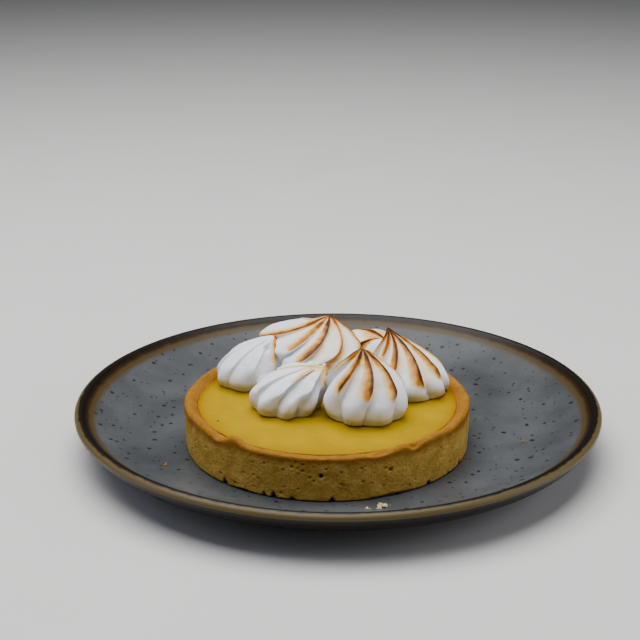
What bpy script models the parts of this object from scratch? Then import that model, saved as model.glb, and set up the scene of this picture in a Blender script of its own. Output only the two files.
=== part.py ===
"""A lemon meringue tart on its coupe plate.

Run with: blender --background --python part.py

Frame: metres, +Z up, origin on the table under the middle of the plate, -Y towards the eater.
Solids: the plate, the shortcrust case, the lemon curd that fills it, and one solid for each
piped meringue kiss. A solid that rests on another, or was cut by it, keeps CONTACT_GAP to it.
"""

import math

import bmesh
import bpy
from mathutils import Vector

MM = 0.001
CONTACT_GAP = 0.3 * MM
FULL_TURN = 2 * math.pi

# Plate: a stoneware coupe plate with a thick rounded lip.
PLATE_RADIUS = 108.5 * MM
LIP_WIDEST_Z = 18.0 * MM
LIP_TOP_Z = 19.7 * MM
WELL_Z = 8.0 * MM
RECESS_Z = 2.4 * MM
FOOT_INNER_RADIUS = 61.5 * MM
FOOT_OUTER_RADIUS = 66.5 * MM
PLATE_SEGMENTS = 56

# Pastry case: baked in a ring 20 mm high, cut level by hand, so its rim is uneven.
TART_CENTRE = Vector((-4.3 * MM, -18.0 * MM, 0.0))
CASE_RADIUS = 57.6 * MM
CASE_BASE_Z = WELL_Z + CONTACT_GAP
RIM_Z = 27.2 * MM
WALL_THICKNESS = 5.2 * MM
FLOOR_THICKNESS = 4.0 * MM
CASE_SEGMENTS = 80

# Bumps and dips of the rim: (degrees from the front towards +X, height in mm, half width in degrees).
RIM_BUMPS = (
    (-84, 0.9, 10),
    (-62, 1.3, 9),
    (-47, -0.6, 5),
    (-37.5, 2.5, 4),
    (0, -0.9, 32),
    (30, 0.9, 4),
    (46, 1.1, 8),
    (68, 0.8, 8),
    (88, 1.4, 10),
    (118, 0.5, 9),
    (146, 1.1, 12),
    (176, -0.4, 10),
    (204, 0.9, 8),
    (236, 0.6, 12),
    (258, -0.5, 7),
)

# Lemon curd: fills the case to a little under its rim.
CURD_Z = 24.8 * MM
CURD_SEGMENTS = 56

# Meringue kisses: piped straight onto the curd through a star nozzle with eight teeth.
RIDGES = 8
STEPS_PER_RIDGE = 5
RINGS = 12
CREASE_AT = 0.2
BELLY_DEPTH = 0.14
FLANK_DEPTH = 0.30
BELLY_CLIMB = 0.26
SHOULDER_TOWARDS = math.radians(140)
SHOULDER_CLIMB = 0.58
SHOULDER_SPREAD = 0.23

# A kiss's outline, as shares of its radius and height, from the middle of its base to its tip.
KISS_OUTLINE = (
    (0.00, 0.00),
    (0.74, 0.00),
    (0.94, 0.09),
    (1.00, BELLY_CLIMB),
    (0.91, 0.45),
    (0.68, 0.62),
    (0.42, 0.77),
    (0.21, 0.89),
    (0.08, 0.97),
    (0.00, 1.00),
)


class Kiss:
    """How one kiss was piped: lengths in mm, angles in degrees from the front towards +X."""

    lean_power = 1.6
    twist_power = 2.0
    fullness = 0.8
    droop = 0.0
    lift = 0.5
    shoulder = 0.0
    sway = {}

    def __init__(self, name, middle, radius, height, lean, ridge_at, twist, **more):
        self.name = name
        self.middle = middle
        self.radius = radius
        self.height = height
        self.lean = lean
        self.ridge_at = ridge_at
        self.twist = twist
        self.__dict__.update(more)


# fullness under 1 rounds the flank, droop bends the tip down, lift raises the belly, and shoulder
# widens the left side half-way up. sway is how far a ridge wandered from its even place, low down
# and half-way up, in degrees. An earlier kiss stayed whole; later ones press on it.
KISSES = (
    Kiss(
        "kiss_front_right",
        (11.0, -30.4),
        17.3,
        27.0,
        (-1.6, 0.5),
        0,
        38,
        lift=2.2,
        sway={-2: (-10, -10), -1: (4, -6), 0: (-8, 5), 1: (1, -1), 2: (8, -12)},
    ),
    Kiss(
        "kiss_front_left",
        (-20.5, -25.0),
        15.3,
        22.0,
        (14.5, 4.5),
        19,
        24,
        lean_power=2.1,
        twist_power=1.0,
        fullness=0.7,
        droop=0.33,
        lift=2.8,
        sway={-1: (6, -4), 0: (-3, 3)},
    ),
    Kiss(
        "kiss_right",
        (30.4, -5.7),
        16.3,
        26.0,
        (-10.2, 3.8),
        -28,
        54,
        twist_power=2.5,
        fullness=1.1,
        sway={-1: (-13, 17), 0: (-5, 4), 1: (11, -6), 2: (20, -18), 3: (-5, -15)},
    ),
    Kiss(
        "kiss_left",
        (-37.0, 2.6),
        14.2,
        22.6,
        (10.2, 1.2),
        3,
        14,
        lean_power=2.2,
        droop=0.12,
        sway={-1: (1, 1)},
    ),
    Kiss(
        "kiss_middle",
        (-8.5, 5.0),
        19.4,
        26.7,
        (4.6, 5.0),
        -19,
        90,
        lean_power=3.0,
        twist_power=1.1,
        lift=9.0,
        shoulder=0.77,
        sway={
            -4: (4, -20),
            -3: (3, 14),
            -2: (28, 12),
            -1: (28, 0),
            0: (7, 4),
            1: (28, 4),
            2: (12, 0),
        },
    ),
    Kiss(
        "kiss_back",
        (6.7, 14.6),
        14.7,
        25.0,
        (13.3, -3.8),
        -19,
        5,
        lean_power=2.1,
        twist_power=1.0,
        fullness=0.7,
        droop=0.4,
        lift=3.0,
        sway={0: (-3, -9)},
    ),
)

# Colour (sRGB), roughness and metallic value of each material.
GLAZE = ("speckled_grey_glaze", (0.44, 0.45, 0.46), 0.25, 0.0)
PASTRY = ("baked_shortcrust", (0.78, 0.58, 0.32), 0.85, 0.0)
CURD = ("lemon_curd", (0.97, 0.80, 0.10), 0.25, 0.0)
MERINGUE = ("torched_meringue", (0.96, 0.95, 0.93), 0.60, 0.0)


def linear(channel):
    """One sRGB channel as linear light."""
    if channel <= 0.04045:
        return channel / 12.92
    return ((channel + 0.055) / 1.055) ** 2.4


def material(name, colour, roughness, metallic):
    """The Principled material of that name, made once."""
    made = bpy.data.materials.get(name)
    if made:
        return made
    made = bpy.data.materials.new(name)
    made.use_nodes = True
    shader = made.node_tree.nodes["Principled BSDF"]
    shader.inputs["Base Color"].default_value = (*map(linear, colour), 1.0)
    shader.inputs["Roughness"].default_value = roughness
    shader.inputs["Metallic"].default_value = metallic
    return made


def add_object(name, bm, finish):
    """Turns a bmesh into a named object with its material, shaded smooth."""
    mesh = bpy.data.meshes.new(name)
    bm.to_mesh(mesh)
    bm.free()
    mesh.materials.append(material(*finish))
    mesh.shade_smooth()
    obj = bpy.data.objects.new(name, mesh)
    bpy.context.scene.collection.objects.link(obj)
    return obj


def turned(outline, segments):
    """A solid of revolution about Z, from (radius, height) points that start and end on the axis."""
    bm = bmesh.new()
    verts = [bm.verts.new((radius, 0.0, height)) for radius, height in outline]
    edges = [bm.edges.new(pair) for pair in zip(verts, verts[1:])]
    bmesh.ops.spin(
        bm,
        geom=verts + edges,
        axis=(0, 0, 1),
        cent=(0, 0, 0),
        angle=FULL_TURN,
        steps=segments,
        use_merge=True,
    )
    bmesh.ops.remove_doubles(bm, verts=bm.verts, dist=0.01 * MM)
    bmesh.ops.recalc_face_normals(bm, faces=bm.faces)
    return bm


def catmull_rom(points, travel):
    """The point at travel, from 0 to 1, on a smooth curve through the points."""
    span = min(travel, 1.0) * (len(points) - 1)
    i = min(int(span), len(points) - 2)
    t = span - i
    before = points[max(i - 1, 0)]
    start, end = points[i], points[i + 1]
    after = points[min(i + 2, len(points) - 1)]

    def axis(p0, p1, p2, p3):
        bend = 2 * p0 - 5 * p1 + 4 * p2 - p3
        twist = 3 * p1 - p0 - 3 * p2 + p3
        return p1 + 0.5 * t * ((p2 - p0) + t * (bend + t * twist))

    return tuple(axis(*values) for values in zip(before, start, end, after))


def front_angle(point):
    """Degrees round the tart from its front, positive towards +X."""
    return math.degrees(math.atan2(point.x, -point.y))


def rim_offset(degrees):
    """How far the rim stands above or below its level there, in metres."""
    total = 0.0
    for middle, height, half_width in RIM_BUMPS:
        away = (degrees - middle + 180) % 360 - 180
        total += height * math.exp(-((away / half_width) ** 2))
    return total * MM


def make_plate():
    """The plate: foot ring, recessed underside, flat well, rising wall and rounded lip."""
    outline = (
        (0.0, RECESS_Z),
        (FOOT_INNER_RADIUS - 2.0 * MM, RECESS_Z),
        (FOOT_INNER_RADIUS - 0.6 * MM, 0.5 * MM),
        (FOOT_INNER_RADIUS, 0.0),
        (FOOT_OUTER_RADIUS, 0.0),
        (FOOT_OUTER_RADIUS + 1.0 * MM, 0.7 * MM),
        (FOOT_OUTER_RADIUS + 2.5 * MM, 3.0 * MM),
        (PLATE_RADIUS - 20.5 * MM, 5.7 * MM),
        (PLATE_RADIUS - 5.0 * MM, 11.4 * MM),
        (PLATE_RADIUS - 0.6 * MM, LIP_WIDEST_Z - 2.2 * MM),
        (PLATE_RADIUS, LIP_WIDEST_Z),
        (PLATE_RADIUS - 0.5 * MM, LIP_TOP_Z - 1.1 * MM),
        (PLATE_RADIUS - 1.5 * MM, LIP_TOP_Z - 0.3 * MM),
        (PLATE_RADIUS - 2.6 * MM, LIP_TOP_Z),
        (PLATE_RADIUS - 3.8 * MM, LIP_TOP_Z - 0.4 * MM),
        (PLATE_RADIUS - 6.0 * MM, LIP_TOP_Z - 2.8 * MM),
        (PLATE_RADIUS - 8.2 * MM, LIP_TOP_Z - 4.4 * MM),
        (PLATE_RADIUS - 18.5 * MM, WELL_Z + 3.1 * MM),
        (PLATE_RADIUS - 24.5 * MM, WELL_Z + 1.1 * MM),
        (PLATE_RADIUS - 31.0 * MM, WELL_Z),
        (0.0, WELL_Z),
    )
    return add_object("plate", turned(outline, PLATE_SEGMENTS), GLAZE)


def make_case():
    """The shortcrust case: floor, leaning inner wall, and a rounded rim that rises and dips."""
    inner_rim = CASE_RADIUS - WALL_THICKNESS
    floor_z = CASE_BASE_Z + FLOOR_THICKNESS
    outline = (
        (0.0, CASE_BASE_Z),
        (CASE_RADIUS - 1.6 * MM, CASE_BASE_Z),
        (CASE_RADIUS - 0.6 * MM, CASE_BASE_Z + 0.8 * MM),
        (CASE_RADIUS - 0.2 * MM, CASE_BASE_Z + 8.0 * MM),
        (CASE_RADIUS, RIM_Z - 1.4 * MM),
        (CASE_RADIUS - 0.9 * MM, RIM_Z - 0.2 * MM),
        (CASE_RADIUS - 2.0 * MM, RIM_Z),
        (CASE_RADIUS - 3.2 * MM, RIM_Z - 0.5 * MM),
        (inner_rim - 0.3 * MM, RIM_Z - 1.8 * MM),
        (inner_rim - 2.6 * MM, floor_z),
        (0.0, floor_z),
    )
    bm = turned(outline, CASE_SEGMENTS)
    for vert in bm.verts:
        rise = max(0.0, (vert.co.z - (RIM_Z - 6.0 * MM)) / (6.0 * MM))
        vert.co.z += rim_offset(front_angle(vert.co)) * rise**2
    bmesh.ops.translate(bm, verts=bm.verts, vec=TART_CENTRE)
    return add_object("shortcrust_case", bm, PASTRY)


def make_curd():
    """The curd: follows the case's inner wall at CONTACT_GAP and ends level, with its edge rounded."""
    inner_rim = CASE_RADIUS - WALL_THICKNESS
    floor_z = CASE_BASE_Z + FLOOR_THICKNESS + CONTACT_GAP
    side = CONTACT_GAP + 0.15 * MM
    outline = (
        (0.0, floor_z),
        (inner_rim - 2.6 * MM - side, floor_z),
        (inner_rim - 0.75 * MM - side, CURD_Z - 0.5 * MM),
        (inner_rim - 1.6 * MM - side, CURD_Z),
        (0.0, CURD_Z),
    )
    bm = turned(outline, CURD_SEGMENTS)
    bmesh.ops.translate(bm, verts=bm.verts, vec=TART_CENTRE)
    return add_object("lemon_curd", bm, CURD)


def lobe(share, climb):
    """Height, 0 to 1, of the piped star across one ridge: a crest, a steep drop, then a slow rise.

    share runs from 0 to 1 round the ridge; climb, 0 at the belly and 1 at the tip, hollows the rise.
    """
    if share < CREASE_AT:
        return 0.5 + 0.5 * math.cos(math.pi * share / CREASE_AT)
    rise = (share - CREASE_AT) / (1 - CREASE_AT)
    return rise ** (0.55 + 1.2 * climb)


def ridge_sway(kiss, around, climb):
    """Degrees that the wrist's wandering adds at that place."""
    total = 0.0
    before = math.floor(around)
    for ridge, share in ((before, 1 - around + before), (before + 1, around - before)):
        number = (ridge + RIDGES // 2) % RIDGES - RIDGES // 2
        low, high = kiss.sway.get(number, (0, 0))
        total += share * (low * (1 - climb) + high * 4 * climb * (1 - climb))
    return total


def kiss_point(kiss, travel, around, depth_share):
    """A point on a kiss, in mm: travel climbs its outline, around counts the ridges passed."""
    share_out, climb = (max(0.0, share) for share in catmull_rom(KISS_OUTLINE, travel))
    if climb > BELLY_CLIMB:
        share_out **= kiss.fullness
    depth = (BELLY_DEPTH + (FLANK_DEPTH - BELLY_DEPTH) * climb) * min(1.0, 4 * travel)
    reach = kiss.radius * share_out * (1 - depth_share * depth * (1 - lobe(around % 1.0, climb)))
    turned_by = kiss.ridge_at - 90 + kiss.twist * climb**kiss.twist_power
    turned_by += ridge_sway(kiss, around, climb)
    azimuth = around / RIDGES * FULL_TURN + math.radians(turned_by)
    shoulder = kiss.shoulder * math.exp(-(((climb - SHOULDER_CLIMB) / SHOULDER_SPREAD) ** 2))
    reach *= 1 + shoulder * max(0.0, math.cos(azimuth - SHOULDER_TOWARDS)) ** 2
    bend = climb**kiss.lean_power
    rise = kiss.lift * min(1.0, climb / BELLY_CLIMB)
    rise += (kiss.height - kiss.lift) * (climb - kiss.droop * climb**5)
    return Vector(
        (
            kiss.middle[0] + reach * math.cos(azimuth) + kiss.lean[0] * bend,
            kiss.middle[1] + reach * math.sin(azimuth) + kiss.lean[1] * bend,
            rise,
        )
    )


def kiss_mesh(kiss, cutter=False):
    """One piped kiss, standing on the curd; a cutter has no creases and is CONTACT_GAP larger."""
    bm = bmesh.new()
    bmesh.ops.create_uvsphere(
        bm, u_segments=RIDGES * STEPS_PER_RIDGE, v_segments=RINGS, radius=1.0
    )
    base = Vector((0.0, 0.0, CURD_Z + CONTACT_GAP))
    for vert in bm.verts:
        travel = math.acos(max(-1.0, min(1.0, -vert.co.z))) / math.pi
        around = math.atan2(vert.co.y, vert.co.x) / FULL_TURN % 1.0 * RIDGES
        vert.co = base + kiss_point(kiss, travel, around, 0.0 if cutter else 1.0) * MM
    if cutter:
        bm.normal_update()
        for vert in bm.verts:
            vert.co += vert.normal * CONTACT_GAP
    return bm


def cut_by(obj, cutter):
    """Takes the cutter's shape out of the object."""
    cut = obj.modifiers.new("pressed_by_" + cutter.name, "BOOLEAN")
    cut.operation = "DIFFERENCE"
    cut.solver = "EXACT"
    cut.object = cutter


def make_kisses():
    """Every kiss, each cut by a slightly larger copy of the kisses that it was pressed against."""
    cutters = []
    for kiss in KISSES:
        obj = add_object(kiss.name, kiss_mesh(kiss), MERINGUE)
        for cutter in cutters:
            cut_by(obj, cutter)
        cutter = add_object(kiss.name + "_cutter", kiss_mesh(kiss, cutter=True), MERINGUE)
        cutter.hide_render = True
        cutter.display_type = "WIRE"
        cutters.append(cutter)


def clear_scene():
    """Removes whatever the open file holds."""
    for obj in list(bpy.data.objects):
        bpy.data.objects.remove(obj, do_unlink=True)


def main():
    """Builds the whole object."""
    clear_scene()
    make_plate()
    make_case()
    make_curd()
    make_kisses()


main()
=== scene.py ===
# %% [markdown]
# # A lemon meringue tart on its plate
#
# This lesson builds one dessert in Blender, piece by piece: a stoneware plate, a pastry case,
# the lemon curd that fills it, six piped meringue kisses browned with a torch, and a few crumbs.
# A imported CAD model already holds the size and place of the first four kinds. It is loaded first
# as a fixed frame, and each piece of those kinds stands for one of its nodes.

# %% Load the frame
import functools
import math
import random

import bmesh
import bpy
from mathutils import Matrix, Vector, noise


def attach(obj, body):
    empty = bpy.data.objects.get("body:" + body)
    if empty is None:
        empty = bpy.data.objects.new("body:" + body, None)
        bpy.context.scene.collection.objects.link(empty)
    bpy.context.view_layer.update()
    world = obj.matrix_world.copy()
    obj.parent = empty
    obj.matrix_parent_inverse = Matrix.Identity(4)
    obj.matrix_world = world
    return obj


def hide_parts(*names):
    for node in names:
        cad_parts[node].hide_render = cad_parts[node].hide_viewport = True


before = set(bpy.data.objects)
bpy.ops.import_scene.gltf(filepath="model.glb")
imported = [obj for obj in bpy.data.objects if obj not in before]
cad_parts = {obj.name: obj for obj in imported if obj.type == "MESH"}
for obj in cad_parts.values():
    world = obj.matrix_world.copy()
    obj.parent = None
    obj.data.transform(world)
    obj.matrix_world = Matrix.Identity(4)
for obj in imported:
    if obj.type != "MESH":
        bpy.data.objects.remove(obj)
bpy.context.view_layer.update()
print("nodes in the frame:", sorted(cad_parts))

# %% [markdown]
# ## Units and small tools
#
# A cook and a potter think in millimetres and Blender in metres, so sizes are written in
# millimetres and turned to metres at the last moment. Every piece is finished the same way: its
# mesh becomes an object that is shaded smooth, rides on the frame, and hides the frame's node
# that it stands for, if there is one.

# %% Units and small tools
MM = 0.001
FULL_TURN = 2 * math.pi


def smooth_step(low, high, value):
    """0 below low, 1 above high, and an even curve between; low may be the larger one."""
    share = max(0.0, min(1.0, (value - low) / (high - low)))
    return share * share * (3 - 2 * share)


def mix(start, end, share):
    """The value that lies that share of the way from start to end."""
    return start + (end - start) * share


def grain(point, size, seed=0.0):
    """Smooth noise from -1 to 1, whose lumps are about that size, for a point in mm."""
    return noise.noise(point / size + Vector((seed, -seed, 0.5 * seed)))


def finish_piece(name, bm, material, node=None):
    """Turns a bmesh that was worked in mm into a smooth object on the frame."""
    bmesh.ops.scale(bm, vec=(MM, MM, MM), verts=bm.verts)
    mesh = bpy.data.meshes.new(name)
    bm.to_mesh(mesh)
    bm.free()
    mesh.materials.append(material)
    mesh.shade_smooth()
    piece = bpy.data.objects.new(name, mesh)
    bpy.context.scene.collection.objects.link(piece)
    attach(piece, "root")
    if node:
        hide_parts(node)
    print(f"{name}: {len(mesh.polygons)} faces")


@functools.cache
def smooth_curve(points, travel):
    """The point at travel, from 0 to 1, on a smooth curve through the points."""
    span = min(travel, 1.0) * (len(points) - 1)
    i = min(int(span), len(points) - 2)
    t = span - i
    near = (points[max(i - 1, 0)], points[i], points[i + 1], points[min(i + 2, len(points) - 1)])
    place = []
    for a, b, c, d in zip(*near):
        bend = 2 * a - 5 * b + 4 * c - d
        twist = 3 * b - a - 3 * c + d
        place.append(b + 0.5 * t * ((c - a) + t * (bend + t * twist)))
    return tuple(place)


def turned_piece(outline, segments):
    """A solid of revolution about Z from (radius, height) points that start and end on the axis."""
    bm = bmesh.new()
    verts = [bm.verts.new((radius, 0.0, height)) for radius, height in outline]
    edges = [bm.edges.new(pair) for pair in zip(verts, verts[1:])]
    bmesh.ops.spin(
        bm,
        geom=verts + edges,
        axis=(0, 0, 1),
        cent=(0, 0, 0),
        angle=FULL_TURN,
        steps=segments,
        use_merge=True,
    )
    bmesh.ops.remove_doubles(bm, verts=bm.verts, dist=0.0005)
    bmesh.ops.recalc_face_normals(bm, faces=bm.faces)
    return bm


# %% [markdown]
# ## Tools for materials
#
# A material is a small tree of nodes. One function adds any node, sets its settings and joins its
# inputs, so the materials below read like recipes. Colours are written as sRGB hex values,
# because that is what a colour picker gives, and turned to the linear light that a shader needs.


# %% Tools for materials
def colour(hex_value):
    """An sRGB hex colour as linear RGBA."""
    channels = [int(hex_value[i : i + 2], 16) / 255 for i in (1, 3, 5)]
    return (*[c / 12.92 if c <= 0.04045 else ((c + 0.055) / 1.055) ** 2.4 for c in channels], 1.0)


def add_node(tree, kind, inputs=None, stops=None, **settings):
    """Adds a shader node; inputs are values or sockets to join, stops are a ramp's colours."""
    made = tree.nodes.new("ShaderNode" + kind)
    for name, value in settings.items():
        setattr(made, name, value)
    for name, value in (inputs or {}).items():
        if isinstance(value, bpy.types.NodeSocket):
            tree.links.new(value, made.inputs[name])
        else:
            made.inputs[name].default_value = value
    if stops:
        elements = made.color_ramp.elements
        while len(elements) < len(stops):
            elements.new(1.0)
        for element, (place, value) in zip(elements, stops):
            element.position = place
            element.color = value if isinstance(value, tuple) else (value, value, value, 1.0)
    return made


def new_material(name):
    """A material with an empty tree but for its Principled shader, and the object's own places."""
    made = bpy.data.materials.new(name)
    made.use_nodes = True
    tree = made.node_tree
    shader = tree.nodes["Principled BSDF"]
    place = add_node(tree, "TexCoord").outputs["Object"]
    return made, tree, shader, place


# %% [markdown]
# ## The meringue
#
# Italian meringue is beaten egg white and hot sugar syrup: a stiff, satin, almost pure white foam
# that lets light about a millimetre in. A torch colours it in seconds, first cream, then caramel,
# then nearly black, and only where it stands proud: the sharp crests that the star nozzle left.
# So the mesh carries two values of its own, which the kisses below work out from how they were
# piped: `scorch` for the thin burnt line on a crest, and `caramel` for the soft tan beside it.
# Fine noise breaks up the line, and broader noise the tan. A third value is where curd clings to
# a kiss's foot. The same value also paints the yellow light that the curd throws back onto
# the foot, which is a painted bounce light.

# %% The meringue
MERINGUE_WHITE = colour("#f0f4fb")
MERINGUE_CREAM = colour("#f3d7a0")
MERINGUE_CARAMEL = colour("#d08c28")
MERINGUE_BROWN = colour("#7e420b")
MERINGUE_BURNT = colour("#3a1a04")
# Smeared curd on a kiss's foot, together with a painted yellow bounce light from the curd.
MERINGUE_SMEAR_AND_BOUNCE = colour("#a1970c")


def make_meringue():
    """Piped Italian meringue, satin white and torched along its crests."""
    made, tree, shader, place = new_material("torched_italian_meringue")
    freckle = add_node(tree, "TexNoise", {"Vector": place, "Scale": 1 / (0.8 * MM), "Detail": 3.0})
    cloud = add_node(tree, "TexNoise", {"Vector": place, "Scale": 1 / (3 * MM), "Detail": 2.0})
    wobble = add_node(
        tree,
        "MapRange",
        {"Value": freckle.outputs["Fac"], "To Min": 0.75, "To Max": 1.25},
    )
    drift = add_node(
        tree, "MapRange", {"Value": cloud.outputs["Fac"], "To Min": 0.4, "To Max": 1.6}
    )
    scorch = add_node(tree, "Attribute", attribute_name="scorch").outputs["Fac"]
    caramel = add_node(tree, "Attribute", attribute_name="caramel").outputs["Fac"]
    tan = add_node(tree, "Math", {0: caramel, 1: drift.outputs["Result"]}, operation="MULTIPLY")
    burn = add_node(tree, "Math", {0: scorch, 1: wobble.outputs["Result"]}, operation="MULTIPLY")
    toast = add_node(tree, "Math", {0: tan.outputs[0], 1: burn.outputs[0]}, operation="ADD")
    browning = add_node(
        tree,
        "ValToRGB",
        {"Fac": toast.outputs[0]},
        stops=(
            (0.02, MERINGUE_WHITE),
            (0.15, MERINGUE_CREAM),
            (0.40, MERINGUE_CARAMEL),
            (0.70, MERINGUE_BROWN),
            (1.0, MERINGUE_BURNT),
        ),
    )
    # The foot is mixed towards curd yellow: smeared curd, and a painted bounce light from the curd.
    smear = add_node(tree, "Attribute", attribute_name="smear").outputs["Fac"]
    smeared_and_lit = add_node(
        tree,
        "Mix",
        {"Factor": smear, 6: browning.outputs["Color"], 7: MERINGUE_SMEAR_AND_BOUNCE},
        data_type="RGBA",
    )
    tree.links.new(smeared_and_lit.outputs[2], shader.inputs["Base Color"])
    foam = add_node(tree, "TexNoise", {"Vector": place, "Scale": 1 / (0.6 * MM), "Detail": 4.0})
    bump = add_node(
        tree, "Bump", {"Height": foam.outputs["Fac"], "Strength": 0.3, "Distance": 0.12 * MM}
    )
    tree.links.new(bump.outputs["Normal"], shader.inputs["Normal"])
    shader.inputs["Roughness"].default_value = 0.5
    shader.inputs["IOR"].default_value = 1.42
    shader.inputs["Specular IOR Level"].default_value = 0.25
    shader.inputs["Subsurface Weight"].default_value = 0.05
    shader.inputs["Subsurface Radius"].default_value = (1.0, 0.95, 0.9)
    shader.inputs["Subsurface Scale"].default_value = 1.0 * MM
    return made


meringue = make_meringue()
print("material:", meringue.name)

# %% [markdown]
# ## The piped kisses
#
# A kiss is piped by holding a star nozzle still, letting a belly swell on the curd, then pulling
# up and away with a turn of the wrist. The star's eight teeth leave eight crests that start
# upright at the belly and wind round as they climb, each with a steep drop on one side, like the
# teeth of a saw. It could be sculpted, but a formula follows the nozzle better: a sphere's
# points are moved to an outline turned round the axis, cut by the saw teeth, wound up, and then
# bent over to where the tip was let go. Each kiss's place, size, lean and twist are those of its
# solid in the frame. The foot, the grooves and the torch marks are this script's own. A kiss is
# made whole, and where two meet, each runs on unseen inside the other. A crest is named by its
# count from the front one.

# %% How each kiss was piped
RIDGES = 8
CURD_Z = 24.8
CONTACT_GAP = 0.3
BELLY_CLIMB = 0.26
KISS_OUTLINE = (
    (0.00, 0.00),
    (0.77, 0.00),
    (0.95, 0.09),
    (1.00, BELLY_CLIMB),
    (0.91, 0.45),
    (0.68, 0.62),
    (0.42, 0.77),
    (0.21, 0.89),
    (0.08, 0.97),
    (0.00, 1.00),
)
SHOULDER_TOWARDS = math.radians(140)
SHOULDER_CLIMB = 0.58
SHOULDER_SPREAD = 0.23


class Kiss:
    """How one kiss was piped: lengths in mm, angles in degrees from the front towards +X.

    lean_power, twist_power: the higher, the nearer the tip it leans over or winds round.
    fullness: below 1 the kiss is fatter above its belly, and above 1 it is thinner.
    lift: extra height gained below the belly, out of the whole.
    droop: how far the tip sank, as a share of the rest of the height.
    shoulder: how far it swells out on one side.
    sway: how far a ridge wandered from its even place, low down and half-way up.
    calm: how far the foam closed over the groove beside a ridge, up to 1; below 0 it is deeper.
    torched: for each ridge, how far down it is burnt (a climb from 0 to 1), how dark its line is,
    and how much caramel lies before it, or after it where that number is negative.
    elsewhere: the same three, for the ridges that torched leaves out.
    tip_toast: how much caramel lies all round the tip.
    dimple: a hollow left by an air bubble, as (place, size, depth).
    groove_width: how wide its grooves are, where 1 is usual.
    """

    lean_power = 1.6
    twist_power = 2.0
    fullness = 0.8
    droop = 0.0
    lift = 0.5
    shoulder = 0.0
    sway = {}
    calm = {}
    torched = {}
    elsewhere = (0.5, 0.7, 0.4)
    tip_toast = 0.3
    dimple = None
    groove_width = 1.0

    def __init__(self, node, middle, radius, height, lean, ridge_at, twist, **more):
        self.node = node
        self.middle = middle
        self.radius = radius
        self.height = height
        self.lean = lean
        self.ridge_at = ridge_at
        self.twist = twist
        self.__dict__.update(more)


KISSES = (
    Kiss(
        "kiss_front_right",
        (11.0, -30.4),
        17.3,
        27.0,
        (-1.6, 0.5),
        0,
        38,
        lift=2.2,
        sway={-2: (-10, -10), -1: (4, -6), 0: (-8, 5), 1: (1, -1), 2: (8, -12)},
        torched={
            -2: (0.60, 0.45, 0.10),
            -1: (0.46, 0.95, 0.70),
            0: (0.40, 0.90, 0.85),
            1: (0.34, 0.95, 0.85),
            2: (0.40, 0.45, 0.15),
        },
    ),
    Kiss(
        "kiss_front_left",
        (-20.5, -25.0),
        15.3,
        22.0,
        (14.5, 4.5),
        19,
        24,
        lean_power=2.1,
        twist_power=1.0,
        fullness=0.7,
        droop=0.33,
        lift=2.8,
        sway={-1: (6, -4), 0: (-3, 3)},
        calm={"all": (-0.45,), -2: (0.1,), -3: (0.2,)},
        torched={
            -3: (0.50, 0.30, 0.25),
            -2: (0.62, 0.10, 0.04),
            -1: (0.66, 0.15, 0.25),
            0: (0.80, 0.20, 0.10),
            1: (0.40, 0.70, 0.30),
        },
        elsewhere=(0.8, 0.1, 0.0),
        tip_toast=0.1,
        dimple=((-9.2, -31.9, 39.8), 1.4, 0.8),
        groove_width=1.7,
    ),
    Kiss(
        "kiss_right",
        (30.4, -5.7),
        16.3,
        26.0,
        (-10.2, 3.8),
        -28,
        54,
        twist_power=2.5,
        fullness=1.1,
        sway={-1: (-13, 17), 0: (-5, 4), 1: (11, -6), 2: (20, -18), 3: (-5, -15)},
        torched={
            -1: (0.60, 0.65, 0.50),
            0: (0.46, 1.00, 1.00),
            1: (0.27, 1.00, 1.10),
            2: (0.32, 0.70, 1.00),
            3: (0.35, 0.45, 0.30),
        },
    ),
    Kiss(
        "kiss_left",
        (-37.0, 2.6),
        14.2,
        22.6,
        (10.2, 1.2),
        3,
        14,
        lean_power=2.2,
        droop=0.12,
        sway={-1: (1, 1)},
        calm={"all": (0.45,), 1: (0.2,), 2: (0.0,)},
        torched={1: (0.50, 0.55, 0.30), 2: (0.25, 1.00, 0.60)},
        elsewhere=(0.9, 0.0, 0.0),
        tip_toast=0.0,
        dimple=((-29.5, -2.7, 42.5), 1.8, 1.1),
        groove_width=1.5,
    ),
    Kiss(
        "kiss_middle",
        (-8.5, 5.0),
        19.4,
        26.7,
        (4.6, 5.0),
        -19,
        90,
        lean_power=3.0,
        twist_power=1.1,
        lift=9.0,
        shoulder=0.77,
        sway={
            -4: (4, -20),
            -3: (3, 14),
            -2: (28, 12),
            -1: (28, 0),
            0: (7, 4),
            1: (28, 4),
            2: (12, 0),
        },
        calm={-4: (0.8,), 3: (0.6,)},
        tip_toast=0.22,
        torched={
            -4: (0.40, 0.10, 0.35),
            -3: (0.18, 0.75, 0.80),
            -2: (0.50, 0.00, 0.75),
            -1: (0.34, 0.95, 1.25),
            0: (0.24, 0.95, -0.90),
            1: (0.36, 0.75, 0.40),
        },
    ),
    Kiss(
        "kiss_back",
        (6.7, 14.6),
        14.7,
        25.0,
        (13.3, -3.8),
        -19,
        5,
        lean_power=2.1,
        twist_power=1.0,
        fullness=0.7,
        droop=0.4,
        lift=3.0,
        sway={0: (-3, -9)},
        calm={"all": (0.7,), 0: (0.1,), 1: (0.3,)},
        torched={
            -3: (0.20, 0.75, 1.60),
            0: (0.30, 0.95, -1.60),
        },
        elsewhere=(0.9, 0.0, 0.0),
    ),
)
print("kisses:", len(KISSES))

# %% [markdown]
# The star's section is drawn across one ridge. On the flank it is a saw tooth: a long rise to the
# crest, then a drop over about an eighth of a ridge. At the belly the foam has swelled and
# rounded, so the section is a row of soft lobes, with a crease under each crest.

# %% The star's section
DROP_ENDS = 0.13
BELLY_DEPTH = 0.16
FLANK_DEPTH = 0.28


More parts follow.
